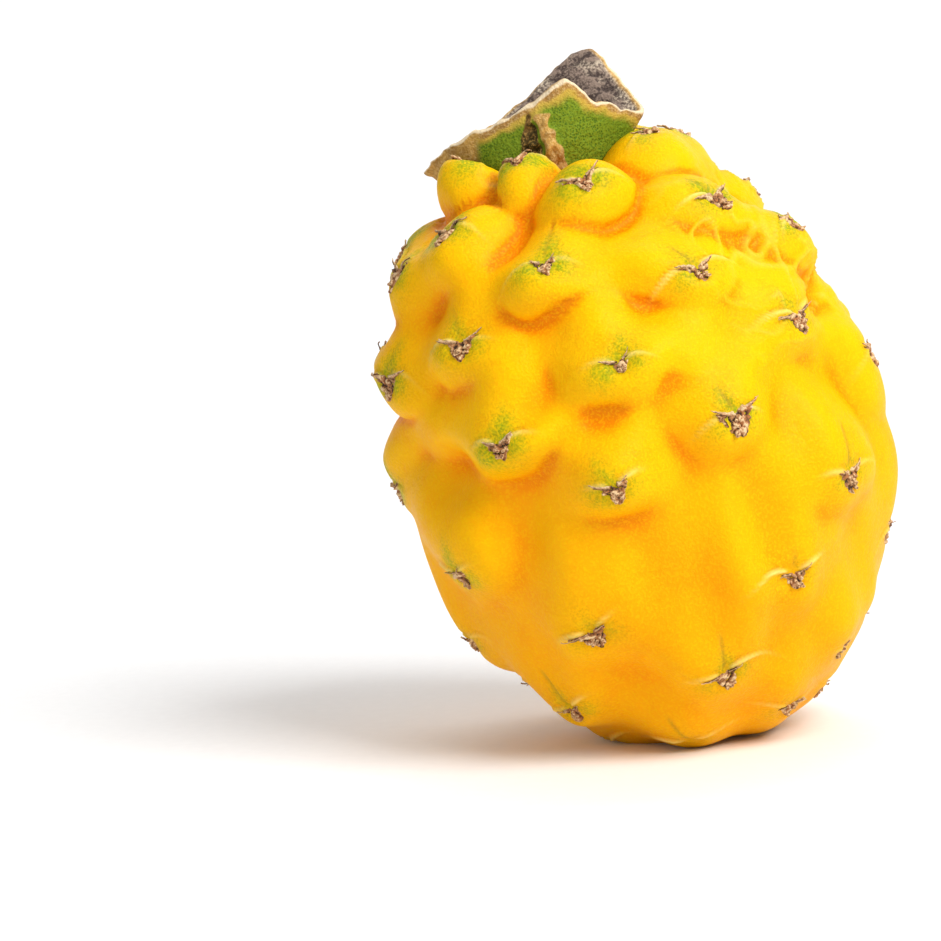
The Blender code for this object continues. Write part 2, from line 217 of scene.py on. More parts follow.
def lobed_skin(directions):
    """Skin points for unit directions from the egg's middle, in the upright fruit's frame."""
    polar = np.arccos(np.clip(directions[:, 2], -1, 1))
    azimuth = np.arctan2(directions[:, 0], -directions[:, 1])
    bare = egg(polar, azimuth)
    out = egg_directions(np.clip(polar, 1e-3, math.pi - 1e-3), azimuth)[2]
    drifted = bare + wander(bare)
    centres = lobe_root + wander(lobe_root)
    vary = 1 + LOBE_VARIATION * np.random.default_rng(LOBE_SEED).uniform(-1, 1, (lobe_count, 3))
    height = down_the_fruit(lobe_polar, LOBE_HEIGHT) * MM * vary[:, 0] + lobe_growth
    half_width = down_the_fruit(lobe_polar, LOBE_HALF_WIDTH) * MM * vary[:, 1]
    reach_up = down_the_fruit(lobe_polar, LOBE_REACH_UP) * MM * vary[:, 2]
    reach_down = down_the_fruit(lobe_polar, LOBE_REACH_DOWN) * MM
    drop = down_the_fruit(lobe_polar, LOBE_DROP) * MM + lobe_sag

    # Each lobe is a dome, and the domes blend as the logarithm of a sum of exponentials
    sharpness = down_the_fruit(polar, CREASE_SHARPNESS) / MM
    total = np.ones(len(bare))
    droop = np.zeros_like(bare)
    for i in range(lobe_count):
        offset = drifted - centres[i]
        near = np.einsum("ij,ij->i", offset, offset) < LOBE_SPAN**2
        across = offset[near] @ lobe_around[i] / half_width[i]
        along = offset[near] @ lobe_down[i] - drop[i]
        along /= np.where(along > 0, reach_down[i], reach_up[i])
        distance = (across**2 + along**2) ** (LOBE_ROUNDNESS / 2)
        dome = np.maximum(height[i] * (1 - distance), -LOBE_SKIRT_DEPTH)
        weight = np.exp(sharpness[near] * dome)
        total[near] += weight
        droop[near] += (weight * np.maximum(dome, 0))[:, None] * lobe_down[i]
    rise = np.log(total) / sharpness + lumps(bare)
    droop *= (down_the_fruit(polar, LOBE_DROOP) / total)[:, None]

    hollow = np.exp(-((np.degrees(polar) / HOLLOW_POLAR) ** 6))
    rise = rise * (1 - hollow) - HOLLOW_DEPTH * hollow
    navel = np.exp(-(((180 - np.degrees(polar)) / NAVEL_POLAR) ** 4))
    rise = rise * (1 - navel) - NAVEL_DEPTH * navel
    return bare + out * rise[:, None] + droop


def skin_and_normals(directions):
    """Skin points and the unit normals there."""
    helper = np.where(np.abs(directions[:, 2:]) < 0.9, [[0.0, 0.0, 1.0]], [[1.0, 0.0, 0.0]])
    first = np.cross(directions, helper)
    first /= np.linalg.norm(first, axis=1, keepdims=True)
    second = np.cross(directions, first)
    step = 1e-3
    points = lobed_skin(directions)
    slopes = []
    for way in (first, second):
        ahead = directions + step * way
        behind = directions - step * way
        ahead /= np.linalg.norm(ahead, axis=1, keepdims=True)
        behind /= np.linalg.norm(behind, axis=1, keepdims=True)
        slopes.append(lobed_skin(ahead) - lobed_skin(behind))
    normals = np.cross(slopes[0], slopes[1])
    normals /= np.linalg.norm(normals, axis=1, keepdims=True)
    outward = np.sign(np.einsum("ij,ij->i", normals, directions))
    return points, normals * np.where(outward < 0, -1, 1)[:, None]


def standing(points):
    """Points of the upright fruit's frame where they are once it leans on its flat spot."""
    turn = np.array(Matrix.Rotation(-LEAN, 3, "Y"))
    return points @ turn.T + MIDDLE


def smooth_share(value, start, end):
    """From 0 at start to 1 at end, with soft ends."""
    share = np.clip((value - start) / (end - start), 0, 1)
    return share * share * (3 - 2 * share)


def rise_and_fall(value, start, full, fading, end):
    """1 from full to fading and 0 outside start to end, with soft ends."""
    return smooth_share(value, start, full) * (1 - smooth_share(value, fading, end))


def blotch(across, up, middle, half_size):
    """A soft round spot of this half size, across and up."""
    return np.exp(
        -(((across - middle[0]) / half_size[0]) ** 2) - ((up - middle[1]) / half_size[1]) ** 2
    )


# Folds and marks round a scar, in millimetres across and up from it. On each side the edge of the
# small leaf that dried away runs out as a fine raised fold, and a thin crease often climbs above.
MARK_SPAN = 16 * MM
MARK_SEED = 21
LOBE_THICKNESS = 5.0
FOLD_LENGTH = (3.5, 8.0)
FOLD_RISE = (0.25, 0.75)
FOLD_BEND = (0.06, 0.13)
FOLD_STRENGTH = (0.5, 1.0)
FOLD_START = 0.5
FOLD_FADE_IN = (0.4, 1.6)
FOLD_HEIGHT = 0.42
FOLD_HALF_WIDTH = 0.34
FOLD_GROOVE = 0.25
FOLD_GROOVE_PLACE = 1.9
CREASE_TILT = (-0.5, 0.5)
CREASE_LENGTH = (2.5, 7.0)
CREASE_FADE_IN = (1.0, 2.0)
CREASE_FADE_OUT = 2.0
CREASE_DEPTH = 0.2
CREASE_HALF_WIDTH = 0.3
UNCREASED_SHARE = 0.35
PIT_RADIUS = 2.2
PIT_DEPTH = 0.5
SEAT_RADIUS = 3.6
PORE_RING = 3.0
PORE_RING_WIDTH = 4.5

# Green round a scar: how strong it is down the fruit, then the middles and half sizes of its
# blotches, across and up: one on each side, one that climbs, and a faint one over all
GREEN_POLAR = (15, 40, 70, 105, 150)
GREEN_SHARE = (1.3, 1.15, 0.85, 0.6, 0.3)
GREEN_VARIATION = (0.6, 1.1)
FLUSH = (0.5, 1.0)
LEFT_BLOTCH = ((-2.4, -0.2), (2.4, 2.0))
RIGHT_BLOTCH = ((2.4, -0.2), (2.4, 2.0))
CLIMBING_BLOTCH = ((0.0, 3.0), (1.7, 2.8))
CLIMBING_SHARE = 0.8
FAINT_BLOTCH = ((0.0, 0.0), (6.5, 6.5))
FAINT_SHARE = 0.3

# Between the lobes: upright ribs on the sides and back, long swells on the lower half, and crumpled
# skin high on one side. Angles are in degrees: a mark starts, is full, fades and ends there.
RIB_SEED = 31
RIB_PERIOD = 13.0
RIB_HEIGHT = 0.16
RIB_SWAY = 5.0
RIB_SWAY_LENGTH = 26 * MM
RIB_SWAY_SQUEEZE = 0.5
RIB_POLAR = (78, 105, 150, 168)
RIB_AZIMUTH = (60.0, 95.0)
RIB_PATCH_SEED = 32
RIB_PATCH_LENGTH = 20 * MM
RIB_PATCH_SQUEEZE = 0.4
SWELL_SEED = 34
SWELL_WIDTH = 11 * MM
SWELL_SQUEEZE = 0.33
SWELL_HEIGHT = 0.5
SWELL_POLAR = (75, 100, 138, 155)
CRUMPLE_SEED = 33
CRUMPLE_SIZE = 6 * MM
CRUMPLE_SHARPNESS = 1.5
CRUMPLE_HEIGHT = 0.34
CRUMPLE_POLAR = (28, 40, 66, 80)
CRUMPLE_AZIMUTH = (30, 50, 100, 120)
BLOSSOM_SIDE_POLAR = (60, 120)

SCAR_REACH = 0.01


def skin_way(polar_step, azimuth_step):
    """Unit vectors along the skin at each scar, for a small step down the fruit or round it."""
    way = lobed_skin(direction_of(lobe_polar + polar_step, lobe_azimuth + azimuth_step))
    way -= lobed_skin(direction_of(lobe_polar - polar_step, lobe_azimuth - azimuth_step))
    return way / np.linalg.norm(way, axis=1, keepdims=True)


scar_point = lobed_skin(direction_of(lobe_polar, lobe_azimuth))
scar_around = skin_way(0, SCAR_REACH)
scar_down = skin_way(SCAR_REACH, 0)
scar_out = np.cross(scar_down, scar_around)


def squeezed_along(points, share):
    """The points squeezed along the fruit, so that waves over them come out drawn out."""
    return points * np.array([1, 1, share])


def skin_marks(points):
    """The relief in millimetres and the colour marks of skin points, as a dictionary of arrays."""
    draw = np.random.default_rng(MARK_SEED)
    relief = np.zeros(len(points))
    marks = {name: np.zeros(len(points)) for name in ("green", "pale_fold_and_highlight", "crease", "pores", "seat")}
    green_here = np.interp(np.degrees(lobe_polar), GREEN_POLAR, GREEN_SHARE)
    for i in range(lobe_count):
        length = draw.uniform(*FOLD_LENGTH, 2)
        climb = draw.uniform(*FOLD_RISE, 2)
        bend = draw.uniform(*FOLD_BEND, 2)
        strength = draw.uniform(*FOLD_STRENGTH, 2)
        tilt = draw.uniform(*CREASE_TILT)
        climb_length = draw.uniform(*CREASE_LENGTH)
        creased = draw.uniform(0, 1)
        green_strength = green_here[i] * draw.uniform(*GREEN_VARIATION)
        flush = draw.uniform(*FLUSH, 3)

        offset = points - scar_point[i]
        near = np.flatnonzero(np.einsum("ij,ij->i", offset, offset) < MARK_SPAN**2)
        offset = offset[near] / MM
        across = offset @ scar_around[i]
        up = -offset @ scar_down[i]
        out = offset @ scar_out[i]
        same_lobe = np.exp(-((out / LOBE_THICKNESS) ** 4))
        away = np.hypot(across, up)

        # A fold on each side of the scar, with a groove just above it
        for side in (0, 1):
            along = across if side else -across
            line = FOLD_START + climb[side] * along - bend[side] * along**2
            fade = smooth_share(along, *FOLD_FADE_IN) * np.exp(-((along / length[side]) ** 4))
            fade *= strength[side] * same_lobe
            gap = (up - line) / FOLD_HALF_WIDTH
            edge = fade * np.exp(-(gap**2))
            relief[near] += FOLD_HEIGHT * edge
            relief[near] -= FOLD_GROOVE * fade * np.exp(-((gap - FOLD_GROOVE_PLACE) ** 2))
            marks["pale_fold_and_highlight"][near] = np.maximum(marks["pale_fold_and_highlight"][near], edge**1.5)

        # A thin crease that climbs above the scar
        if creased > UNCREASED_SHARE:
            line = tilt * (up - CREASE_FADE_IN[0])
            fade = rise_and_fall(up, *CREASE_FADE_IN, climb_length, climb_length + CREASE_FADE_OUT)
            fade *= creased * same_lobe
            groove = fade * np.exp(-(((across - line) / CREASE_HALF_WIDTH) ** 2))
            relief[near] -= CREASE_DEPTH * groove
            marks["crease"][near] = np.maximum(marks["crease"][near], groove)

        # The pit that the scar sits in, and the green and the pores round it
        relief[near] -= PIT_DEPTH * np.exp(-((away / PIT_RADIUS) ** 4))
        blotches = (
            flush[0] * blotch(across, up, *LEFT_BLOTCH),
            flush[1] * blotch(across, up, *RIGHT_BLOTCH),
            CLIMBING_SHARE * flush[2] * blotch(across - tilt * up, up, *CLIMBING_BLOTCH),
            FAINT_SHARE * blotch(across, up, *FAINT_BLOTCH),
        )
        green = green_strength * same_lobe * np.clip(sum(blotches), 0, 1)
        marks["green"][near] = np.maximum(marks["green"][near], green)
        porous = same_lobe * np.exp(-(((away - PORE_RING) / PORE_RING_WIDTH) ** 2))
        marks["pores"][near] = np.maximum(marks["pores"][near], porous)
        seat = np.exp(-((away / SEAT_RADIUS) ** 4))
        marks["seat"][near] = np.maximum(marks["seat"][near], seat)

    # Ribs, swells and crumpled skin between the lobes
    polar = np.degrees(np.arccos(np.clip(points[:, 2] / np.linalg.norm(points, axis=1), -1, 1)))
    azimuth = np.degrees(np.arctan2(points[:, 0], -points[:, 1]))
    sway = rolling_waves(squeezed_along(points, RIB_SWAY_SQUEEZE), RIB_SWAY_LENGTH, RIB_SEED)
    ribs = np.cos(2 * math.pi * (azimuth + RIB_SWAY * sway) / RIB_PERIOD)
    patch = rolling_waves(squeezed_along(points, RIB_PATCH_SQUEEZE), RIB_PATCH_LENGTH, RIB_PATCH_SEED)
    patch = smooth_share(patch, -0.3, 1.2) * rise_and_fall(polar, *RIB_POLAR)
    patch *= smooth_share(np.abs(azimuth), *RIB_AZIMUTH)
    relief += RIB_HEIGHT * ribs * patch
    # A faint painted highlight: the rib crests are marked pale
    marks["pale_fold_and_highlight"] = np.maximum(marks["pale_fold_and_highlight"], 0.1 * smooth_share(ribs, 0.55, 1.0) * patch)
    # Painted shade: the valleys between the ribs are marked for orange
    marks["rib_valley"] = smooth_share(-ribs, 0.0, 1.0) * patch
    marks["blossom_side"] = smooth_share(polar, *BLOSSOM_SIDE_POLAR)
    swells = rolling_waves(squeezed_along(points, SWELL_SQUEEZE), SWELL_WIDTH, SWELL_SEED)
    relief += SWELL_HEIGHT * swells * rise_and_fall(polar, *SWELL_POLAR)
    crumple = 1 - CRUMPLE_SHARPNESS * np.abs(rolling_waves(points, CRUMPLE_SIZE, CRUMPLE_SEED))
    crumple = np.clip(crumple, 0, 1) ** 1.5
    patch = rise_and_fall(polar, *CRUMPLE_POLAR) * rise_and_fall(azimuth, *CRUMPLE_AZIMUTH)
    relief += CRUMPLE_HEIGHT * crumple * patch
    marks["pale_fold_and_highlight"] = np.maximum(marks["pale_fold_and_highlight"], 0.2 * crumple**2 * patch)
    return relief, marks


def finished_skin(directions):
    """Skin points with their relief, the normals under it and the colour marks."""
    points, normals = skin_and_normals(directions)
    relief, marks = skin_marks(points)
    return points + normals * relief[:, None] * MM, normals, marks


# The mesh is a cut cube blown up to a ball, and its vertices are gathered round the scars
RIND_CUTS = 125
GATHER = 0.45
GATHER_RADIUS = 0.16


def rind_ball():
    """A closed ball of even squares whose vertices are drawn together round the scars."""
    ball = bmesh.new()
    bmesh.ops.create_cube(ball, size=2.0)
    bmesh.ops.subdivide_edges(ball, edges=ball.edges[:], cuts=RIND_CUTS, use_grid_fill=True)
    mesh = bpy.data.meshes.new("rind")
    ball.to_mesh(mesh)
    ball.free()
    corners = np.empty(len(mesh.vertices) * 3)
    mesh.vertices.foreach_get("co", corners)
    directions = np.tan(corners.reshape(-1, 3) * math.pi / 4)
    directions /= np.linalg.norm(directions, axis=1, keepdims=True)
    pull = np.zeros_like(directions)
    for centre in direction_of(lobe_polar, lobe_azimuth):
        gap = centre - directions
        pull += GATHER * gap * np.exp(-np.einsum("ij,ij->i", gap, gap) / GATHER_RADIUS**2)[:, None]
    directions += pull
    directions /= np.linalg.norm(directions, axis=1, keepdims=True)
    return mesh, directions


def hollows(mesh, points, rounds):
    """How far each vertex lies below its surroundings, in metres, as a mesh blurred so often shows."""
    edges = np.empty(len(mesh.edges) * 2, np.int64)
    mesh.edges.foreach_get("vertices", edges)
    start, end = edges.reshape(-1, 2).T
    count = np.bincount(edges, minlength=len(points))[:, None]
    blurred = points.copy()
    for _ in range(rounds):
        total = np.zeros_like(blurred)
        for axis in range(3):
            total[:, axis] += np.bincount(start, blurred[end, axis], len(points))
            total[:, axis] += np.bincount(end, blurred[start, axis], len(points))
        blurred = (blurred + total / count) / 2
    normals = np.empty(len(points) * 3)
    mesh.vertex_normals.foreach_get("vector", normals)
    return np.einsum("ij,ij->i", blurred - points, normals.reshape(-1, 3))


def add_mark(mesh, name, values):
    """A value for each vertex, which the materials read by name."""
    mark = mesh.attributes.new(name, "FLOAT", "POINT")
    mark.data.foreach_set("value", np.asarray(values, np.float32))


def add_piece(name, mesh, material):
    """An object for the mesh, shaded smooth, riding with the fruit."""
    piece = bpy.data.objects.new(name, mesh)
    bpy.context.scene.collection.objects.link(piece)
    mesh.materials.clear()
    mesh.materials.append(material)
    mesh.shade_smooth()
    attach(piece, "root")
    return piece


# How often the mesh is blurred to find each kind of hollow, and how deep the hollows are
# The valley, crest and crevice hollows only place painted shade and painted highlight in the colour
VALLEY_ROUNDS = 90
VALLEY_DEPTH = 0.9 * MM
RIB_VALLEY_SHARE = 0.6
CREST_HEIGHT = 0.9 * MM
SEAM_ROUNDS = 16
SEAM_HOLLOW = (0.08 * MM, 0.3 * MM)
SEAM_DEPTH = 0.55 * MM
CREVICE_ROUNDS = 12
CREVICE_DEPTH = (0.06 * MM, 0.35 * MM)


def rind_mesh():
    """The fruit's whole skin, standing on its flat spot."""
    mesh, directions = rind_ball()
    points, normals, marks = finished_skin(directions)
    mesh.vertices.foreach_set("co", points.ravel())
    mesh.update()

    # The seams between the upper lobes are pinched deeper than their domes make them
    seam = smooth_share(hollows(mesh, points, SEAM_ROUNDS), *SEAM_HOLLOW)
    seam *= (1 - marks.pop("seat")) * (1 - marks["blossom_side"])
    points -= normals * (SEAM_DEPTH * seam)[:, None]
    stood = standing(points)
    stood[:, 2] = np.maximum(stood[:, 2], 0)
    mesh.vertices.foreach_set("co", stood.ravel())
    mesh.update()
    sunk = hollows(mesh, stood, VALLEY_ROUNDS)
    # Painted shade: the valleys are marked for orange
    marks["valley_shade"] = smooth_share(sunk, 0, VALLEY_DEPTH)
    marks["valley_shade"] = np.maximum(marks["valley_shade"], RIB_VALLEY_SHARE * marks.pop("rib_valley"))
    # Painted highlight: the crests are marked for lemon
    marks["crest_highlight"] = smooth_share(-sunk, 0, CREST_HEIGHT)
    # Painted shade: the crevices between the lobes are marked for amber
    marks["crevice_shade"] = smooth_share(hollows(mesh, stood, CREVICE_ROUNDS), *CREVICE_DEPTH)
    for name, values in marks.items():
        add_mark(mesh, name, values)
    return mesh


def add_node(tree, kind, inputs=None, **settings):
    """A shader node with its settings, and each input either linked or set."""
    node = tree.nodes.new(kind)
    for name, value in settings.items():
        setattr(node, name, value)
    for name, value in (inputs or {}).items():
        if isinstance(value, bpy.types.NodeSocket):
            tree.links.new(value, node.inputs[name])
        else:
            node.inputs[name].default_value = value
    return node


def mixed(tree, share, under, over):
    """The colour under, with this share of the colour over."""
    node = add_node(tree, "ShaderNodeMix", {0: share, 6: under, 7: over}, data_type="RGBA")
    return node.outputs[2]


def ramped(tree, value, start, end, low=0.0, high=1.0):
    """The value turned from start..end to low..high, with soft ends."""
    inputs = {"Value": value, "From Min": start, "From Max": end, "To Min": low, "To Max": high}
    node = add_node(tree, "ShaderNodeMapRange", inputs, interpolation_type="SMOOTHSTEP")
    return node.outputs["Result"]


def worked(tree, operation, first, second):
    """Two values added, multiplied or otherwise worked into one."""
    node = add_node(tree, "ShaderNodeMath", {0: first, 1: second}, operation=operation)
    return node.outputs["Value"]


def times(tree, first, second):
    return worked(tree, "MULTIPLY", first, second)


def spread(tree, mask, low, high):
    """A mask's 0 to 1 turned to low..high."""
    return ramped(tree, mask, 0.0, 1.0, low, high)


def marked(tree, name):
    """The mark of this name that the mesh carries."""
    return add_node(tree, "ShaderNodeAttribute", attribute_name=name).outputs["Fac"]


def new_group(name, inputs, outputs):
    """An empty node group with these sockets. Returns it with its input and output nodes."""
    group = bpy.data.node_groups.new(name, "ShaderNodeTree")
    for socket, kind, value in inputs:
        made = group.interface.new_socket(socket, in_out="INPUT", socket_type=kind)
        if value is not None:
            made.default_value = value
    for socket, kind in outputs:
        group.interface.new_socket(socket, in_out="OUTPUT", socket_type=kind)
    return group, group.nodes.new("NodeGroupInput"), group.nodes.new("NodeGroupOutput")


def mottle_group():
    """Cloudy patches of a given size in metres, from 0 to 1."""
    group, given, result = new_group(
        "mottle",
        [
            ("Place", "NodeSocketVector", None),
            ("Size", "NodeSocketFloat", 0.005),
            ("Detail", "NodeSocketFloat", 3.0),
            ("Softness", "NodeSocketFloat", 0.2),
        ],
        [("Mask", "NodeSocketFloat")],
    )
    scale = worked(group, "DIVIDE", 1.0, given.outputs["Size"])
    inputs = {"Vector": given.outputs["Place"], "Scale": scale, "Detail": given.outputs["Detail"]}
    cloud = add_node(group, "ShaderNodeTexNoise", inputs).outputs["Fac"]
    low = worked(group, "SUBTRACT", 0.5, given.outputs["Softness"])
    high = worked(group, "ADD", 0.5, given.outputs["Softness"])
    group.links.new(ramped(group, cloud, low, high), result.inputs["Mask"])
    return group


def pore_group():
    """Small round pores a given size apart in metres: where their dots are, from 0 to 1."""
    group, given, result = new_group(
        "pores",
        [
            ("Place", "NodeSocketVector", None),
            ("Spacing", "NodeSocketFloat", 0.0007),
            ("Dot", "NodeSocketFloat", 0.35),
        ],
        [("Mask", "NodeSocketFloat")],
    )
    scale = worked(group, "DIVIDE", 1.0, given.outputs["Spacing"])
    cells = add_node(group, "ShaderNodeTexVoronoi", {"Vector": given.outputs["Place"], "Scale": scale})
    start = times(group, given.outputs["Dot"], 0.4)
    dots = ramped(group, cells.outputs["Distance"], start, given.outputs["Dot"], 1.0, 0.0)
    group.links.new(dots, result.inputs["Mask"])
    return group


mottle = mottle_group()
pores = pore_group()


def mottled(tree, place, size, detail, softness):
    """The mask of the mottle group, placed in a material with its own values."""
    inputs = {"Place": place, "Size": size, "Detail": detail, "Softness": softness}
    return add_node(tree, "ShaderNodeGroup", inputs, node_tree=mottle).outputs["Mask"]


def pored(tree, place, spacing, dot):
    """The mask of the pore group, placed in a material with its own values."""
    inputs = {"Place": place, "Spacing": spacing, "Dot": dot}
    return add_node(tree, "ShaderNodeGroup", inputs, node_tree=pores).outputs["Mask"]


def new_material(name):
    """A material with its node tree, its shader and the place of a point on the piece."""
    material = bpy.data.materials.new(name)
    material.use_nodes = True
    tree = material.node_tree
    place = add_node(tree, "ShaderNodeTexCoord").outputs["Object"]
    return material, tree, tree.nodes["Principled BSDF"], place


def add_bump(tree, shader, height, strength, distance):
    inputs = {"Height": height, "Strength": strength, "Distance": distance}
    bump = add_node(tree, "ShaderNodeBump", inputs)
    tree.links.new(bump.outputs["Normal"], shader.inputs["Normal"])


# Colours are linear red, green and blue, with a last value for opacity
# The orange is also painted shade in the valleys, the amber painted shade in the crevices, the lemon
# also painted highlight on the crests
RIND_YELLOW = (0.95, 0.44, 0.0005, 1.0)
RIND_ORANGE = (0.90, 0.26, 0.0005, 1.0)
RIND_CREVICE_SHADE = (0.75, 0.18, 0.0005, 1.0)
RIND_LEMON = (0.96, 0.53, 0.001, 1.0)
RIND_PALE = (0.97, 0.74, 0.22, 1.0)
RIND_SPECKLE = (0.97, 0.60, 0.004, 1.0)
RIND_GREEN = (0.34, 0.38, 0.008, 1.0)
RIND_OLIVE = (0.16, 0.19, 0.004, 1.0)
RIND_BROWN = (0.36, 0.22, 0.02, 1.0)


def rind_material():
    """Waxy yellow skin: painted orange shade in the valleys, painted lemon highlight on the crests,
    green round the scars.
    """
    material, tree, shader, place = new_material("rind")
    broad = mottled(tree, place, size=0.014, detail=3.0, softness=0.25)
    middling = mottled(tree, place, size=0.004, detail=4.0, softness=0.25)
    fine = mottled(tree, place, size=0.0009, detail=2.0, softness=0.3)
    granules = mottled(tree, place, size=0.00035, detail=2.0, softness=0.2)
    dots = pored(tree, place, spacing=0.0005, dot=0.42)

    lemon = times(tree, broad, 0.6)
    colour = mixed(tree, lemon, RIND_YELLOW, RIND_LEMON)
    clouded = spread(tree, broad, 0.2, 0.45)
    # More orange in cloudy patches over the lower half, towards the blossom end
    blossom_side = times(tree, marked(tree, "blossom_side"), clouded)
    colour = mixed(tree, blossom_side, colour, RIND_ORANGE)
    # Painted shade: orange in the valleys between the lobes and the ribs
    valley_shade = times(tree, marked(tree, "valley_shade"), 0.8)
    colour = mixed(tree, valley_shade, colour, RIND_ORANGE)
    blush = times(tree, ramped(tree, middling, 0.55, 1.0), 0.22)
    colour = mixed(tree, blush, colour, RIND_ORANGE)
    # Painted shade: amber in the crevices between the lobes
    crevice_shade = times(tree, marked(tree, "crevice_shade"), 0.6)
    colour = mixed(tree, crevice_shade, colour, RIND_CREVICE_SHADE)
    # Painted highlight: lemon on the crests
    crest_highlight = times(tree, marked(tree, "crest_highlight"), 0.45)
    colour = mixed(tree, crest_highlight, colour, RIND_LEMON)

    grainy = spread(tree, fine, 0.75, 1.15)
    green = times(tree, marked(tree, "green"), grainy)
    green = times(tree, green, spread(tree, middling, 0.8, 1.15))
    green = times(tree, green, ramped(tree, green, 0.0, 0.5, 0.5, 1.1))
    colour = mixed(tree, green, colour, RIND_GREEN)

    porous = times(tree, dots, marked(tree, "pores"))
    porous = times(tree, porous, ramped(tree, middling, 0.2, 0.8, 0.1, 0.5))
    colour = mixed(tree, porous, colour, RIND_SPECKLE)
    light_grains = ramped(tree, granules, 0.45, 0.95, 0.0, 0.3)
    colour = mixed(tree, light_grains, colour, RIND_SPECKLE)
    dark_grains = ramped(tree, granules, 0.4, 0.0, 0.0, 0.6)
    dark_grains = times(tree, marked(tree, "green"), dark_grains)
    colour = mixed(tree, dark_grains, colour, RIND_OLIVE)
    uneven = spread(tree, middling, 0.75, 1.0)
    # Pale on the scar folds and crumpled ridges, and a faint painted highlight on the rib crests
    colour = mixed(tree, times(tree, marked(tree, "pale_fold_and_highlight"), uneven), colour, RIND_PALE)
    crease = times(tree, marked(tree, "crease"), 0.7)
    colour = mixed(tree, crease, colour, RIND_BROWN)
    tree.links.new(colour, shader.inputs["Base Color"])

    roughness = spread(tree, fine, 0.36, 0.5)
    tree.links.new(roughness, shader.inputs["Roughness"])
    height = times(tree, porous, 0.5)
    height = worked(tree, "ADD", height, times(tree, fine, 0.4))
    height = worked(tree, "ADD", height, times(tree, granules, 0.4))
    add_bump(tree, shader, height, strength=0.35, distance=0.00025)
    shader.inputs["Specular IOR Level"].default_value = 0.05
    shader.inputs["Subsurface Weight"].default_value = 0.2
    shader.inputs["Subsurface Radius"].default_value = (1.0, 0.45, 0.08)
    shader.inputs["Subsurface Scale"].default_value = 0.0015
    return material


rind = add_piece("rind", rind_mesh(), rind_material())
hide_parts("fruit_body")


# Dried scars
# On the tip of each lobe sits the dried scar of the leaf and its spines: a lumpy brown crust, a tuft
# of snapped spine bases below it, and two papery points that stand out left and right.
SCAR_SEED = 5
SCAR_LAST_POLAR = 172.0
SCAR_LOWEST = 1.5 * MM
SCAR_CLEARANCE = 0.1 * MM
SCAR_SIZE = (0.65, 1.0)
SCAR_ARMS = (2.0, 3.6)
SCAR_KNOBS = (5, 9)

# Scars that are smaller or larger than their draw, by the number of their lobe
SCAR_SIZE_SHARE = {
    -1: 0.45,
    0: 0.75,
    1: 0.6,
    2: 0.7,
    5: 0.75,
    7: 0.8,
    13: 0.75,
    26: 0.85,
    27: 1.4,
    33: 1.4,
    40: 1.2,
}

# The crust, in millimetres across, up and out from the middle of its scar
CRUST_COLUMNS = 44
CRUST_ROWS = 40
CRUST_MARGIN = 0.3
CRUST_SPAN = (-3.2, 2.4)
CRUST_SUNK = 0.35
CRUST_RISE = 0.3
CRUST_TIP = 2.7
CRUST_TOP = 0.8
CRUST_HALF_WIDTH = 2.1
CRUST_ARM_HALF_WIDTH = 0.5
CRUST_EDGE = -0.35

# A snapped spine base: height, width and lightness from its foot up and into its hollow end
KNOB_SIDES = 8
# The lightness is painted light: shade at the foot and in the hollow end, a highlight up the shoulder
KNOB_STATIONS = (
    (-0.3, 1.0, 0.0),
    (0.25, 1.1, 0.2),
    (0.6, 0.95, 0.6),
    (0.9, 0.75, 0.9),
    (1.0, 0.45, 0.7),
    (0.85, 0.02, 0.0),
)
KNOB_LENGTH = (0.4, 0.65)
KNOB_RADIUS = (0.24, 0.36)
KNOB_ROUGHNESS = 0.15

# A papery point: most lie low on the skin, and a few stand up from it
POINT_STATIONS = 11
POINT_REACH = (0.9, 1.25)
POINT_LOW_SHARE = 0.75
POINT_LOW_LIFT = (0.05, 0.3)
POINT_HIGH_LIFT = (0.5, 1.0)
POINT_RISE = (0.2, 1.3)
POINT_HALF_WIDTH = (0.25, 0.36)
POINT_CURL = (0.1, 0.5)
POINT_CROOKED = 0.07


class ScarShapes:
    """Vertices across, up and out from their scar in millimetres, with faces and marks."""

    def __init__(self):
        self.points = []
        self.lobe = []
        self.faces = []
        self.tone = []
        self.pale_and_highlight = []

    def add(self, lobe, points, faces, tone, pale_and_highlight):
        start = len(self.points)
        self.points.extend(points)
        self.lobe.extend([lobe] * len(points))
        self.faces.extend([tuple(start + corner for corner in face) for face in faces])
        self.tone.extend(tone)
        self.pale_and_highlight.extend(pale_and_highlight)


def grid_faces(rows, columns, closed=False):
    """Quads between the rows of a grid of vertices, round each row if it is closed."""
    faces = []
    for row in range(rows - 1):
        for column in range(columns if closed else columns - 1):
            a = row * columns + column
            b = row * columns + (column + 1) % columns
            faces.append((a, b, b + columns, a + columns))
    return faces


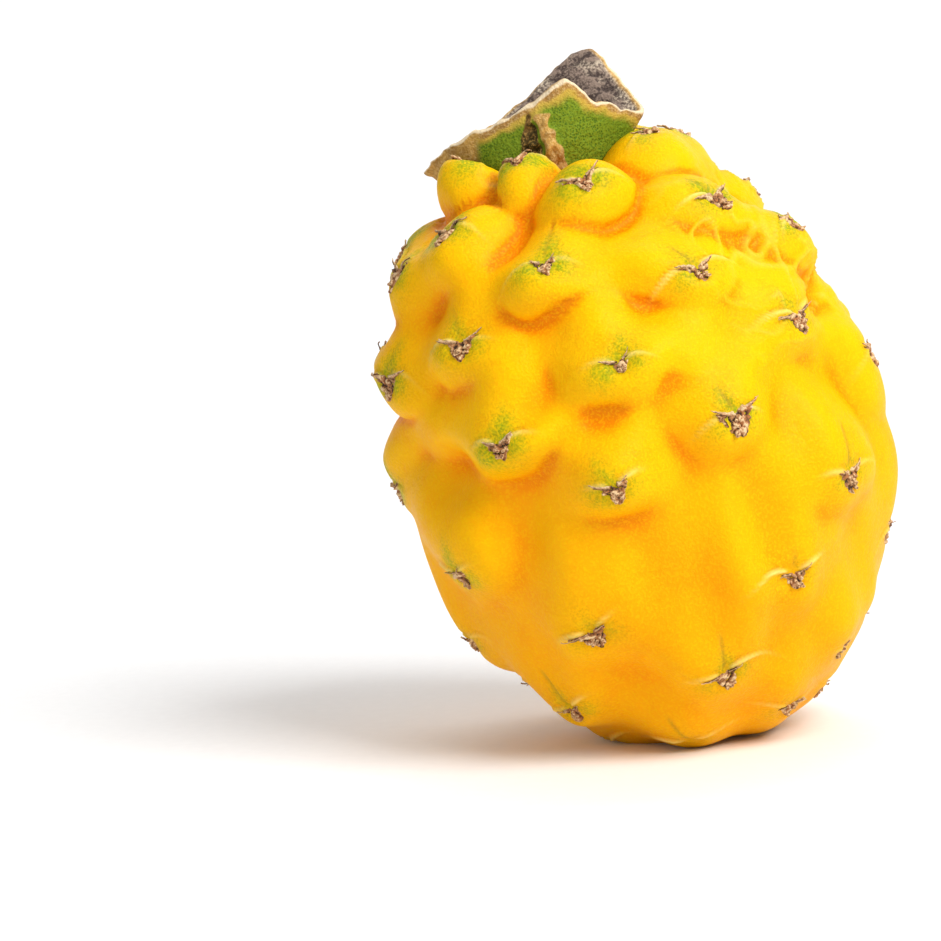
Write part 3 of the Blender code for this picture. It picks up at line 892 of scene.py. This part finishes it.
def add_crust(shapes, lobe, draw, size, arms):
    """The brown crust: a cracked triangle that points down, drawn out at its two upper corners."""
    across = np.linspace(-arms[0] - CRUST_MARGIN, arms[1] + CRUST_MARGIN, CRUST_COLUMNS)
    up = np.linspace(*CRUST_SPAN, CRUST_ROWS) * size
    across, up = np.meshgrid(across, up)
    across, up = across.ravel(), up.ravel()
    seed = int(draw.integers(1000))
    place = np.stack([across, up, np.full_like(up, lobe)], -1)

    # How far each vertex is inside the triangle's sides, top and tip
    height = (up / size + CRUST_TIP) / (CRUST_TIP + CRUST_TOP)
    half = CRUST_HALF_WIDTH * size * np.clip(height, 0.001, 1) ** 0.6
    sides = (half - np.abs(across)) / 0.7
    top = CRUST_TOP - up / size + 0.2 * np.abs(across)
    inside = np.minimum(np.minimum(sides, top), height / 0.15)

    # An arm climbs out of each upper corner, ever thinner
    for side, reach in enumerate(arms):
        along = (across if side else -across) / reach
        line = size * (0.45 + 0.7 * np.clip(along, 0, 1) ** 1.5)
        half = size * (CRUST_ARM_HALF_WIDTH * (1 - np.clip(along, 0, 1)) + 0.04)
        arm = 0.7 * (1 - ((up - line) / half) ** 2)
        inside = np.maximum(inside, np.where((along > 0.1) & (along < 1.0), arm, -2))

    # The ragged outline, the lumps and cracks of the crust, and its pale edge
    inside = inside + 0.14 * rolling_waves(place, 0.9, seed)
    lumpy = rolling_waves(place, 1.1, seed + 1)
    cracks = np.clip(1 - 2.6 * np.abs(rolling_waves(place, 1.5, seed + 2)), 0, 1)
    body = smooth_share(inside, -0.2, 0.35)
    out = -CRUST_SUNK + body * (CRUST_SUNK + CRUST_RISE + 0.14 * lumpy - 0.3 * cracks)
    edge = smooth_share(inside, -0.1, 0.05) * (1 - smooth_share(inside, 0.1, 0.25))
    # Painted shade down in the sunk cracks, painted highlight on the raised lumps
    tone = np.clip(0.6 + 0.25 * lumpy - 0.8 * cracks, 0, 1)
    faces = grid_faces(CRUST_ROWS, CRUST_COLUMNS)
    kept = [face for face in faces if inside[list(face)].max() > CRUST_EDGE]
    shapes.add(lobe, np.stack([across, up, out], -1), kept, tone, 0.6 * edge * (1 - cracks))


def add_knob(shapes, lobe, draw, foot, lean, length, radius):
    """A snapped spine base: a tapered stub with a blunt, slightly hollow end, painted shade at its foot
    and in its end, and a painted highlight up its shoulder.
    """
    turn = draw.uniform(0, 2 * math.pi)
    squash = draw.uniform(0.7, 1.0)
    points, tone, pale_and_highlight = [], [], []
    for height, width, light in KNOB_STATIONS:
        middle = np.array(foot) + np.array(lean) * height * length
        for side in range(KNOB_SIDES):
            angle = turn + 2 * math.pi * side / KNOB_SIDES
            reach = radius * width * (1 + KNOB_ROUGHNESS * draw.uniform(-1, 1))
            points.append(middle + [reach * math.cos(angle), reach * squash * math.sin(angle), 0])
            tone.append(0.15 + 0.7 * light)
            pale_and_highlight.append(0.8 * max(0.0, light - 0.4))
    faces = grid_faces(len(KNOB_STATIONS), KNOB_SIDES, closed=True)
    shapes.add(lobe, points, faces, tone, pale_and_highlight)


def add_papery_point(shapes, lobe, draw, side, reach, size):
    """A dry flake that runs out sideways along the skin to a thin tip, with a painted highlight along
    its upper edge and painted shade along its lower edge and underneath.
    """
    low = draw.uniform() < POINT_LOW_SHARE
    lift = draw.uniform(*(POINT_LOW_LIFT if low else POINT_HIGH_LIFT))
    rise = draw.uniform(*POINT_RISE)
    width = draw.uniform(*POINT_HALF_WIDTH) * size
    curl = draw.uniform(*POINT_CURL)
    points, tone, pale_and_highlight = [], [], []
    for station in range(POINT_STATIONS):
        share = station / (POINT_STATIONS - 1)
        across = (1 if side else -1) * (0.5 + (reach - 0.5) * share)
        up = size * 0.6 + rise * share**1.4
        out = 0.2 + lift * share**1.6
        half = width * (1 - share) ** 0.7 + 0.03
        crooked = POINT_CROOKED * draw.uniform(-1, 1)
        # Painted highlight along the upper edge, painted shade along the lower edge and the underside
        ring = (
            (half, 0.12 + curl * half, 1.0),
            (0.3 * half, 0.1 + 0.5 * crooked, 0.5),
            (-half, 0.0, 0.1),
            (0.0, -0.12, 0.2),
        )
        for over, thick, light in ring:
            points.append([across, up + over + crooked, out + thick])
            tone.append(0.3 + 0.5 * light)
            pale_and_highlight.append(light)
    faces = grid_faces(POINT_STATIONS, len(ring), closed=True)
    shapes.add(lobe, points, faces, tone, pale_and_highlight)


def on_the_skin(lobe, local):
    """World points for places across, up and out from each scar, in millimetres."""
    lobe = np.array(lobe)
    local = np.array(local) * MM
    flat = lobe_root[lobe] + local[:, :1] * lobe_around[lobe] - local[:, 1:2] * lobe_down[lobe]
    half = np.where(flat[:, 2] > 0, STEM_HALF, BLOSSOM_HALF)
    polar = np.arccos(np.clip(flat[:, 2] / half, -1, 1))
    azimuth = np.arctan2(flat[:, 0], -flat[:, 1])
    points, normals, _ = finished_skin(direction_of(polar, azimuth))
    return standing(points + normals * local[:, 2:])


def scar_mesh():
    """The scars of all the lobes that stand clear of the surface."""
    draw = np.random.default_rng(SCAR_SEED)
    shapes = ScarShapes()
    heights = standing(scar_point)[:, 2]
    for lobe in range(lobe_count):
        size = draw.uniform(*SCAR_SIZE) * SCAR_SIZE_SHARE.get(lobe + FIRST_LOBE, 1.0)
        arms = draw.uniform(*SCAR_ARMS, 2) * size
        knobs = int(draw.integers(*SCAR_KNOBS))
        clear = heights[lobe] > SCAR_LOWEST and np.degrees(lobe_polar[lobe]) < SCAR_LAST_POLAR
        if clear:
            add_crust(shapes, lobe, draw, size, arms)
            for side, reach in enumerate(arms):
                add_papery_point(shapes, lobe, draw, side, reach * draw.uniform(*POINT_REACH), size)
            for _ in range(knobs):
                foot = (draw.uniform(-0.7, 0.7) * size, draw.uniform(-1.9, -0.2) * size, 0.05)
                lean_out = 0.5 * foot[0] + 0.15 * draw.uniform(-1, 1)
                lean = (lean_out, -0.3 + 0.2 * draw.uniform(-1, 1), 1.0)
                length = draw.uniform(*KNOB_LENGTH)
                add_knob(shapes, lobe, draw, foot, lean, length, draw.uniform(*KNOB_RADIUS))
    stood = on_the_skin(shapes.lobe, shapes.points)
    stood[:, 2] = np.maximum(stood[:, 2], SCAR_CLEARANCE)
    mesh = bpy.data.meshes.new("scars")
    mesh.from_pydata(stood.tolist(), [], shapes.faces)
    add_mark(mesh, "tone", shapes.tone)
    add_mark(mesh, "pale_and_highlight", shapes.pale_and_highlight)
    return mesh


# The dark is also painted shade in the cracks, at the knobs' feet and in their ends; the tan also
# painted highlight on the lumps, knobs and flakes
SCAR_DARK = (0.035, 0.013, 0.006, 1.0)
SCAR_BROWN = (0.40, 0.19, 0.07, 1.0)
SCAR_RED = (0.42, 0.11, 0.02, 1.0)
SCAR_TAN = (0.86, 0.64, 0.36, 1.0)


def scar_material():
    """Dry brown crust, reddish in places, with pale ragged edges; painted shade in its cracks and under
    its pieces, painted highlight on their raised parts.
    """
    material, tree, shader, place = new_material("dried_scar")
    patches = mottled(tree, place, size=0.0016, detail=3.0, softness=0.15)
    grain = mottled(tree, place, size=0.0004, detail=3.0, softness=0.2)
    # The tone mark holds painted shade and painted highlight along with the crust's own tone
    tone = worked(tree, "ADD", marked(tree, "tone"), spread(tree, grain, -0.2, 0.2))
    colour = mixed(tree, ramped(tree, tone, 0.1, 0.6), SCAR_DARK, SCAR_BROWN)
    reddish = times(tree, patches, ramped(tree, tone, 0.1, 0.6, 0.1, 0.55))
    colour = mixed(tree, reddish, colour, SCAR_RED)
    colour = mixed(tree, ramped(tree, tone, 0.6, 1.0, 0.0, 0.8), colour, SCAR_TAN)
    # Pale ragged edges, and painted highlight on the spine bases and the flakes' upper edges
    pale_and_highlight = times(tree, marked(tree, "pale_and_highlight"), ramped(tree, grain, 0.1, 0.9, 0.45, 1.0))
    colour = mixed(tree, pale_and_highlight, colour, SCAR_TAN)
    tree.links.new(colour, shader.inputs["Base Color"])
    tree.links.new(spread(tree, grain, 0.6, 0.85), shader.inputs["Roughness"])
    add_bump(tree, shader, grain, strength=0.6, distance=0.00015)
    shader.inputs["Specular IOR Level"].default_value = 0.3
    return material


scars = add_piece("lobe_scars", scar_mesh(), scar_material())


# Stem remnant
# A short piece of the three-ribbed climbing stem stays on when the fruit is cut. It is a dried boat:
# granular green flanks, a corky tan rim that has curled up, and a grey-brown fibrous hollow.

# The rim runs from the tongue on the left along the front to the right corner and home along the
# back, in millimetres from the middle of the seat under the stem
STEM_RIM = (
    (-17.6, 1.5, 2.4),
    (-12.0, -4.0, 6.6),
    (-2.0, -8.0, 10.9),
    (3.9, -9.0, 14.6),
    (7.8, -6.6, 12.0),
    (14.8, -0.5, 9.3),
    (12.6, 4.5, 13.2),
    (8.2, 9.2, 18.6),
    (4.6, 9.4, 17.4),
    (-1.4, 7.5, 12.6),
    (-8.4, 5.5, 7.8),
    (-14.2, 3.8, 4.2),
)

# The flank from the foot by way of the waist to the rim, then the lip and the bowl inside it
STEM_CORE_X = -2.0
STEM_FOOT_X = -1.0
STEM_FOOT_LENGTH = 8.4
STEM_FOOT_WIDTH = 6.0
STEM_FOOT_Z = -4.0
STEM_WAIST_SHARE = 0.55
STEM_WAIST_BULGE = 1.15
STEM_RIM_WIDTH = 1.3
STEM_BOWL_DEPTH = 5.0
STEM_FLOOR_DEPTH = 3.0
STEM_FLOOR_SHARE = 0.5
STEM_STATIONS = 300
FLANK_ROWS = 48
LIP_ROWS = 8
BOWL_ROWS = 30
LIP_HEIGHT = 0.35
LIP_SHARE = 0.3

# The relief of its surface, and where the ridge in front and the tongue begin
NICK_HEIGHT = 0.22
CORK_HEIGHT = 0.16
GRAIN_HEIGHT = 0.05
RIDGE_HEIGHT = 0.6
GROOVE_DEPTH = 0.2
FIBRE_HEIGHT = 0.28
RIDGE_TOP = 9.5
RIDGE_FADE = 1.5
RIDGE_LENGTH = 9
TONGUE_FROM = (8.6, 10.0)


def closed_curve(points, count):
    """Points spaced evenly by number along a smooth closed curve through the given ones."""
    points = np.array(points, float)
    place = np.arange(count) * len(points) / count
    i = place.astype(int)
    t = (place - i)[:, None]
    a, b, c, d = (points[(i + k) % len(points)] for k in (-1, 0, 1, 2))
    square = 2 * a - 5 * b + 4 * c - d
    cube = 3 * b - a - 3 * c + d
    return b + ((c - a) * t + square * t**2 + cube * t**3) / 2


def stem_rings():
    """Rings from the foot up the flank, over the rim and down into the hollow, in millimetres."""
    rim = closed_curve(STEM_RIM, STEM_STATIONS)
    middle = rim.mean(axis=0)
    bearing = np.arctan2(rim[:, 1], rim[:, 0] - STEM_CORE_X)
    foot = np.stack([
        STEM_FOOT_X + STEM_FOOT_LENGTH * np.cos(bearing),
        STEM_FOOT_WIDTH * np.sin(bearing),
        np.full(STEM_STATIONS, STEM_FOOT_Z),
    ], -1)
    waist = foot + (rim - foot) * STEM_WAIST_SHARE
    waist[:, 1] *= STEM_WAIST_BULGE
    inward = middle - rim
    inward[:, 2] = 0
    inward /= np.linalg.norm(inward, axis=1, keepdims=True)
    lip = rim + inward * STEM_RIM_WIDTH
    floor = lip + (middle - lip) * STEM_FLOOR_SHARE - np.array([0, 0, STEM_FLOOR_DEPTH])
    deepest = middle - np.array([0, 0, STEM_BOWL_DEPTH])

    rings, height, inside = [], [], []
    for share in np.linspace(0, 1, FLANK_ROWS, endpoint=False):
        if share < STEM_WAIST_SHARE:
            ring = foot + (waist - foot) * share / STEM_WAIST_SHARE
        else:
            ring = waist + (rim - waist) * (share - STEM_WAIST_SHARE) / (1 - STEM_WAIST_SHARE)
        rings.append(ring)
        height.append(share)
        inside.append(0.0)
    for share in np.linspace(0, 1, LIP_ROWS, endpoint=False):
        round_top = np.array([0, 0, LIP_HEIGHT * math.sin(math.pi * share)])
        rings.append(rim + (lip - rim) * share + round_top)
        height.append(1.0)
        inside.append(LIP_SHARE * share)
    for share in np.linspace(0, 1, BOWL_ROWS):
        towards = (1 - share) ** 2 * lip + 2 * share * (1 - share) * floor + share**2 * deepest
        rings.append(towards)
        height.append(1.0)
        inside.append(LIP_SHARE + (1 - LIP_SHARE) * share)
    return np.array(rings), np.array(height), np.array(inside), inward


def stem_mesh():
    """The whole remnant, with its relief and colour marks."""
    rings, height, inside, inward = stem_rings()
    rows, columns = len(rings), STEM_STATIONS
    flat = rings.reshape(-1, 3)
    up_share = np.repeat(height, columns)
    in_share = np.repeat(inside, columns)
    outward = -np.tile(inward, (rows, 1))
    flank = 1 - smooth_share(in_share, 0.0, 0.1)

    # The rim is nicked and wavy, and the cork just under it stands a little proud
    nicks = rolling_waves(flat, 5.0, 41) + 0.4 * rolling_waves(flat, 1.8, 42)
    near_rim = np.exp(-(((up_share - 1) / 0.12) ** 2)) * np.exp(-((in_share / 0.35) ** 2))
    cork = CORK_HEIGHT * near_rim * (0.8 + 0.5 * rolling_waves(flat, 2.6, 43))
    flat = flat + outward * cork[:, None]
    flat[:, 2] += NICK_HEIGHT * near_rim * nicks
    grain = rolling_waves(flat, 0.9, 44)
    flat = flat + outward * (GRAIN_HEIGHT * flank * grain)[:, None]

    # The corky ridge that parts the two green faces in front, with a dark scaly groove on its left
    in_front = smooth_share(-flat[:, 1], 0.5, 3.0) * flank
    in_front *= smooth_share(flat[:, 2], RIDGE_TOP + RIDGE_FADE, RIDGE_TOP)
    down = np.clip(RIDGE_TOP - flat[:, 2], 0, RIDGE_LENGTH)
    bent = flat[:, 0] + 0.3 * rolling_waves(flat, 3.0, 47)
    ridge = in_front * np.exp(-(((bent - 0.4 - 0.25 * down) / (1.0 + 0.07 * down)) ** 4))
    groove = in_front * np.exp(-(((bent + 1.5 + 0.03 * down) / (0.6 + 0.17 * down)) ** 4))
    rough = rolling_waves(flat, 1.2, 45)
    bark = ridge * (RIDGE_HEIGHT + 0.2 * rough) - groove * (GROOVE_DEPTH - 0.35 * rough)
    flat = flat + outward * bark[:, None]

    # Fibres run along the hollow
    fibres = rolling_waves(flat * np.array([0.25, 1.0, 1.0]), 1.3, 46)
    flat[:, 2] += FIBRE_HEIGHT * smooth_share(in_share, 0.25, 0.45) * fibres

    seat = standing(np.array([[0, 0, STEM_HALF - HOLLOW_DEPTH]]))[0]
    stood = flat * MM + seat
    faces = grid_faces(rows, columns, closed=True)
    faces.append(tuple(range(columns))[::-1])
    last = (rows - 1) * columns
    mesh = bpy.data.meshes.new("stem")
    mesh.from_pydata(stood.tolist(), [], faces)

    # The last ring has shrunk to the deepest point, so its vertices become one
    joined = bmesh.new()
    joined.from_mesh(mesh)
    deepest = [vertex for vertex in joined.verts if vertex.index >= last]
    bmesh.ops.remove_doubles(joined, verts=deepest, dist=0.01 * MM)
    bmesh.ops.recalc_face_normals(joined, faces=joined.faces[:])
    joined.to_mesh(mesh)
    joined.free()

    kept = np.empty(len(mesh.vertices) * 3)
    mesh.vertices.foreach_get("co", kept)
    kept = (kept.reshape(-1, 3) - seat) / MM
    marks = {
        "height": up_share,
        "inside": in_share,
        "ridge": ridge,
        "groove": groove,
        "fibres": (fibres + 2) / 4,
    }
    for name, values in marks.items():
        add_mark(mesh, name, values[: len(kept)])
    add_mark(mesh, "tongue", smooth_share(-kept[:, 0], *TONGUE_FROM))
    return mesh


STEM_GREEN = (0.18, 0.26, 0.014, 1.0)
STEM_DARK_GREEN = (0.06, 0.13, 0.008, 1.0)
STEM_OCHRE = (0.56, 0.38, 0.06, 1.0)
CORK_TAN = (0.58, 0.34, 0.09, 1.0)
CORK_PALE = (0.86, 0.66, 0.34, 1.0)
CORK_BROWN = (0.34, 0.18, 0.05, 1.0)
GROOVE_DARK = (0.06, 0.04, 0.01, 1.0)
RIM_CREAM = (0.88, 0.73, 0.50, 1.0)
HOLLOW_PALE = (0.66, 0.54, 0.40, 1.0)
HOLLOW_GREY = (0.25, 0.18, 0.14, 1.0)
HOLLOW_DARK = (0.06, 0.04, 0.035, 1.0)


def stem_material():
    """Granular green flesh, cork on the ridge and tongue, a cream lip and a dry brown hollow."""
    material, tree, shader, place = new_material("stem")
    patches = mottled(tree, place, size=0.003, detail=4.0, softness=0.15)
    grain = mottled(tree, place, size=0.0004, detail=3.0, softness=0.2)
    cells = pored(tree, place, spacing=0.00034, dot=0.6)
    height = marked(tree, "height")
    inside = marked(tree, "inside")
    wavy = worked(tree, "ADD", height, times(tree, patches, 0.05))

    shade = times(tree, cells, spread(tree, patches, 0.5, 0.9))
    green = mixed(tree, shade, STEM_GREEN, STEM_DARK_GREEN)
    colour = mixed(tree, ramped(tree, wavy, 0.86, 0.95), green, STEM_OCHRE)
    cork = mixed(tree, patches, CORK_TAN, CORK_BROWN)
    cork = mixed(tree, ramped(tree, grain, 0.5, 0.9, 0.0, 0.25), cork, CORK_PALE)
    cork = mixed(tree, ramped(tree, grain, 0.4, 0.1, 0.0, 0.5), cork, CORK_BROWN)
    colour = mixed(tree, ramped(tree, wavy, 0.94, 0.99), colour, cork)
    bark = worked(tree, "MAXIMUM", ramped(tree, marked(tree, "ridge"), 0.3, 0.6), marked(tree, "tongue"))
    colour = mixed(tree, bark, colour, cork)
    scaly = mixed(tree, ramped(tree, patches, 0.2, 0.9, 0.0, 0.6), GROOVE_DARK, CORK_BROWN)
    scaly = mixed(tree, ramped(tree, grain, 0.5, 1.0, 0.0, 0.45), scaly, CORK_TAN)
    colour = mixed(tree, ramped(tree, marked(tree, "groove"), 0.3, 0.6), colour, scaly)
    outer_lip = ramped(tree, inside, 0.05, 0.16, 1.0, 0.0)
    lip = times(tree, ramped(tree, height, 0.975, 0.995), outer_lip)
    colour = mixed(tree, times(tree, lip, 0.85), colour, RIM_CREAM)
    fibre = worked(tree, "ADD", marked(tree, "fibres"), spread(tree, grain, -0.2, 0.2))
    dry = mixed(tree, ramped(tree, fibre, 0.2, 0.8), HOLLOW_DARK, HOLLOW_GREY)
    fading = worked(tree, "ADD", inside, times(tree, patches, 0.25))
    speckle = ramped(tree, fading, 0.28, 0.55, 0.9, 0.05)
    speckle = times(tree, speckle, ramped(tree, grain, 0.2, 0.9, 0.2, 1.0))
    dry = mixed(tree, speckle, dry, HOLLOW_PALE)
    colour = mixed(tree, ramped(tree, inside, 0.14, 0.3), colour, dry)
    tree.links.new(colour, shader.inputs["Base Color"])
    tree.links.new(spread(tree, grain, 0.5, 0.75), shader.inputs["Roughness"])
    relief = worked(tree, "SUBTRACT", grain, times(tree, cells, 0.5))
    add_bump(tree, shader, relief, strength=0.5, distance=0.0002)
    shader.inputs["Specular IOR Level"].default_value = 0.12
    return material


stem = add_piece("stem_remnant", stem_mesh(), stem_material())
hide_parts("stem_stub")


# Studio
# A seamless pale sweep under soft lamps: a large one high on the right in front, a weaker one on
# the left, one on the wall and a pale surround. The camera looks slightly down.
SWEEP_HALF_WIDTH = 1.6
SWEEP_FRONT = -1.2
SWEEP_BACK = 0.9
SWEEP_RADIUS = 0.5
SWEEP_HEIGHT = 1.6
SWEEP_STEPS = 24
SWEEP_WHITE = (0.92, 0.92, 0.92, 1.0)
SWEEP_SHADE = (0.9, 0.9, 0.9, 1.0)


def sweep_mesh():
    """A floor that curves up behind into a wall."""
    profile = [(SWEEP_FRONT, 0.0)]
    for step in range(SWEEP_STEPS + 1):
        angle = math.pi / 2 * step / SWEEP_STEPS
        profile.append((
            SWEEP_BACK + SWEEP_RADIUS * math.sin(angle),
            SWEEP_RADIUS * (1 - math.cos(angle)),
        ))
    profile.append((SWEEP_BACK + SWEEP_RADIUS, SWEEP_HEIGHT))
    points = [(x, y, z) for y, z in profile for x in (-SWEEP_HALF_WIDTH, SWEEP_HALF_WIDTH)]
    mesh = bpy.data.meshes.new("sweep")
    mesh.from_pydata(points, [], grid_faces(len(profile), 2))
    mesh.shade_smooth()
    return mesh


def sweep_material():
    """Plain pale paper with a faint tooth."""
    material, tree, shader, place = new_material("pale_paper")
    tooth = mottled(tree, place, size=0.002, detail=3.0, softness=0.3)
    paper = mixed(tree, tooth, SWEEP_WHITE, SWEEP_SHADE)
    tree.links.new(paper, shader.inputs["Base Color"])
    shader.inputs["Roughness"].default_value = 0.9
    shader.inputs["Specular IOR Level"].default_value = 0.1
    return material


sweep = bpy.data.objects.new("sweep", sweep_mesh())
bpy.context.scene.collection.objects.link(sweep)
sweep.data.materials.append(sweep_material())

FRUIT_AIM = Vector((0, 0, 0.05))
WALL_AIM = Vector((0, 1.4, 0.5))
SURROUND_STRENGTH = 0.35


def add_lamp(name, place, aim, watts, size):
    """A square soft lamp that faces its aim."""
    light = bpy.data.lights.new(name, "AREA")
    light.energy = watts
    light.size = size
    lamp = bpy.data.objects.new(name, light)
    bpy.context.scene.collection.objects.link(lamp)
    lamp.location = place
    lamp.rotation_euler = (aim - Vector(place)).to_track_quat("-Z", "Y").to_euler()


add_lamp("key_lamp", (0.45, -0.45, 0.65), FRUIT_AIM, watts=8.8, size=0.5)
add_lamp("fill_lamp", (-0.7, -0.5, 0.35), FRUIT_AIM, watts=0.8, size=0.6)
add_lamp("sweep_lamp", (0.0, 0.5, 1.3), WALL_AIM, watts=11, size=0.8)

surround = bpy.data.worlds.new("studio")
bpy.context.scene.world = surround
surround.use_nodes = True
background = surround.node_tree.nodes["Background"]
background.inputs["Color"].default_value = (1, 1, 1, 1)
background.inputs["Strength"].default_value = SURROUND_STRENGTH
bpy.context.scene.view_settings.view_transform = "Standard"

# The camera: where the photograph's frame puts the middle of the fruit, in its pixels
PICTURE_SIDE = 941
MIDDLE_COLUMN = 641.2
MIDDLE_ROW = 447.8
PIXELS_PER_MM = 6.76
CAMERA_DISTANCE = 0.62
CAMERA_PITCH = math.radians(6.4)
CAMERA_ROLL = math.radians(3.0)


def add_camera():
    """The camera in front of the fruit, shifted so that it sits where the frame has it."""
    lens = bpy.data.cameras.new("camera")
    camera = bpy.data.objects.new("camera", lens)
    bpy.context.scene.collection.objects.link(camera)
    back = Vector((0, -math.cos(CAMERA_PITCH), math.sin(CAMERA_PITCH)))
    camera.location = Vector(MIDDLE) + back * CAMERA_DISTANCE
    aim = (-back).to_track_quat("-Z", "Y")
    camera.rotation_euler = (aim @ Quaternion((0, 0, 1), -CAMERA_ROLL)).to_euler()
    view_width = PICTURE_SIDE / PIXELS_PER_MM * MM
    lens.lens = lens.sensor_width * CAMERA_DISTANCE / view_width
    lens.shift_x = (PICTURE_SIDE / 2 - MIDDLE_COLUMN) / PICTURE_SIDE
    lens.shift_y = (MIDDLE_ROW - PICTURE_SIDE / 2) / PICTURE_SIDE
    lens.clip_start = 0.01
    bpy.context.scene.camera = camera


add_camera()
